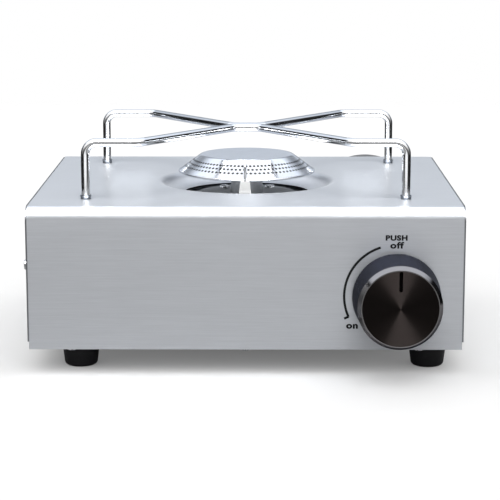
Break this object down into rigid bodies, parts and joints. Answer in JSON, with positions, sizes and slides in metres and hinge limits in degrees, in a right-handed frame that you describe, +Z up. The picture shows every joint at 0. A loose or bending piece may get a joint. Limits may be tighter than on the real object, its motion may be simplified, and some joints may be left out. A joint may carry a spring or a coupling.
{
  "type": "portable cassette stove",
  "caption": "low sheet-steel gas stove with a perforated burner in a pressed dish, a lift-off bent-rod trivet, rubber feet and a push-and-turn valve knob",
  "frame": {"origin": "on the table under the feet, midway between the side screws and midway between the knob's face and the rear end of the cartridge collar", "axes": "+X to the right seen from the front, +Y from the knob side to the rear, +Z up"},
  "size_m": [0.2274, 0.239, 0.1182],
  "materials": {
    "casing_sheet": "fine grain along the width, satin",
    "zinc_sheet": "zinc-plated sheet",
    "burner_steel": "pressed and lightly polished",
    "collar_steel": "satin dark grey",
    "chrome_rod": "bright chrome plate",
    "screws": "zinc-plated",
    "die_cast": "as cast, matt",
    "brass": "turned",
    "magnet": "matt ferrite",
    "knob_metal": "dark anodised, satin flank and bright bevel",
    "knob_face": "dark anodised, spun",
    "knob_plastic": "moulded black",
    "cam_plastic": "moulded natural",
    "feet_rubber": "matt black",
    "seal_rubber": "matt black",
    "lead_silicone": "smooth silicone",
    "ceramic": "glazed white"
  },
  "bodies": {
    "body": {"wrap_casing": "casing_sheet", "side_cover_left": "casing_sheet", "side_cover_right": "casing_sheet", "base_plate": "zinc_sheet", "rubber_feet": "feet_rubber", "foot_screws": "screws", "base_screws": "screws", "side_screws": "screws", "cartridge_collar": "collar_steel", "collar_screws": "screws", "cartridge_rails": "zinc_sheet", "heat_shield": "zinc_sheet", "shield_rivets": "die_cast", "regulator_bracket": "zinc_sheet", "bracket_screws": "screws", "regulator_body": "die_cast", "diaphragm_cap": "die_cast", "cap_screws": "screws", "cartridge_port": "brass", "port_seal": "seal_rubber", "magnet_ring": "magnet", "gland_nut": "brass", "thrust_washer": "screws", "piezo_body": "knob_plastic", "piezo_bracket": "zinc_sheet", "igniter_lead": "lead_silicone", "electrode_insulator": "ceramic", "electrode_needle": "screws", "electrode_clip": "zinc_sheet", "gas_jet": "brass", "mixing_tube": "zinc_sheet", "air_shutter": "zinc_sheet", "burner_neck": "die_cast", "burner_pan": "burner_steel", "burner_head": "burner_steel", "burner_screws": "screws", "trivet_sockets": "chrome_rod"},
    "valve_stem": {"valve_spindle": "screws", "ignition_cam": "cam_plastic", "return_spring": "screws"},
    "knob": {"knob_shell": "knob_metal", "knob_hub": "knob_plastic", "knob_face_disc": "knob_face"},
    "igniter_plunger": {"piezo_plunger": "cam_plastic"},
    "trivet": {"trivet_front_rod": "chrome_rod", "trivet_rear_rod": "chrome_rod"}
  },
  "joints": [
    {"name": "knob_turn", "type": "hinge", "parent": "body", "child": "valve_stem", "pos_m": [0.0774, -0.0885, 0.0403], "axis": [0, -1, 0], "range_deg": [0, 115]},
    {"name": "knob_push", "type": "slide", "parent": "valve_stem", "child": "knob", "axis": [0, 1, 0], "range_m": [0, 0.0025], "stiffness_N_per_m": 800, "springref_m": -0.004, "deforming": ["return_spring"]},
    {"name": "plunger_slide", "type": "slide", "parent": "body", "child": "igniter_plunger", "axis": [-1, 0, 0], "range_m": [0, 0.003]},
    {"name": "trivet_lift", "type": "slide", "parent": "body", "child": "trivet", "axis": [0, 0, 1], "range_m": [0, 0.008]}
  ],
  "couplings": [
    {"joint": "plunger_slide", "follows": "knob_turn", "m_per_rad": 0.001494}
  ]
}
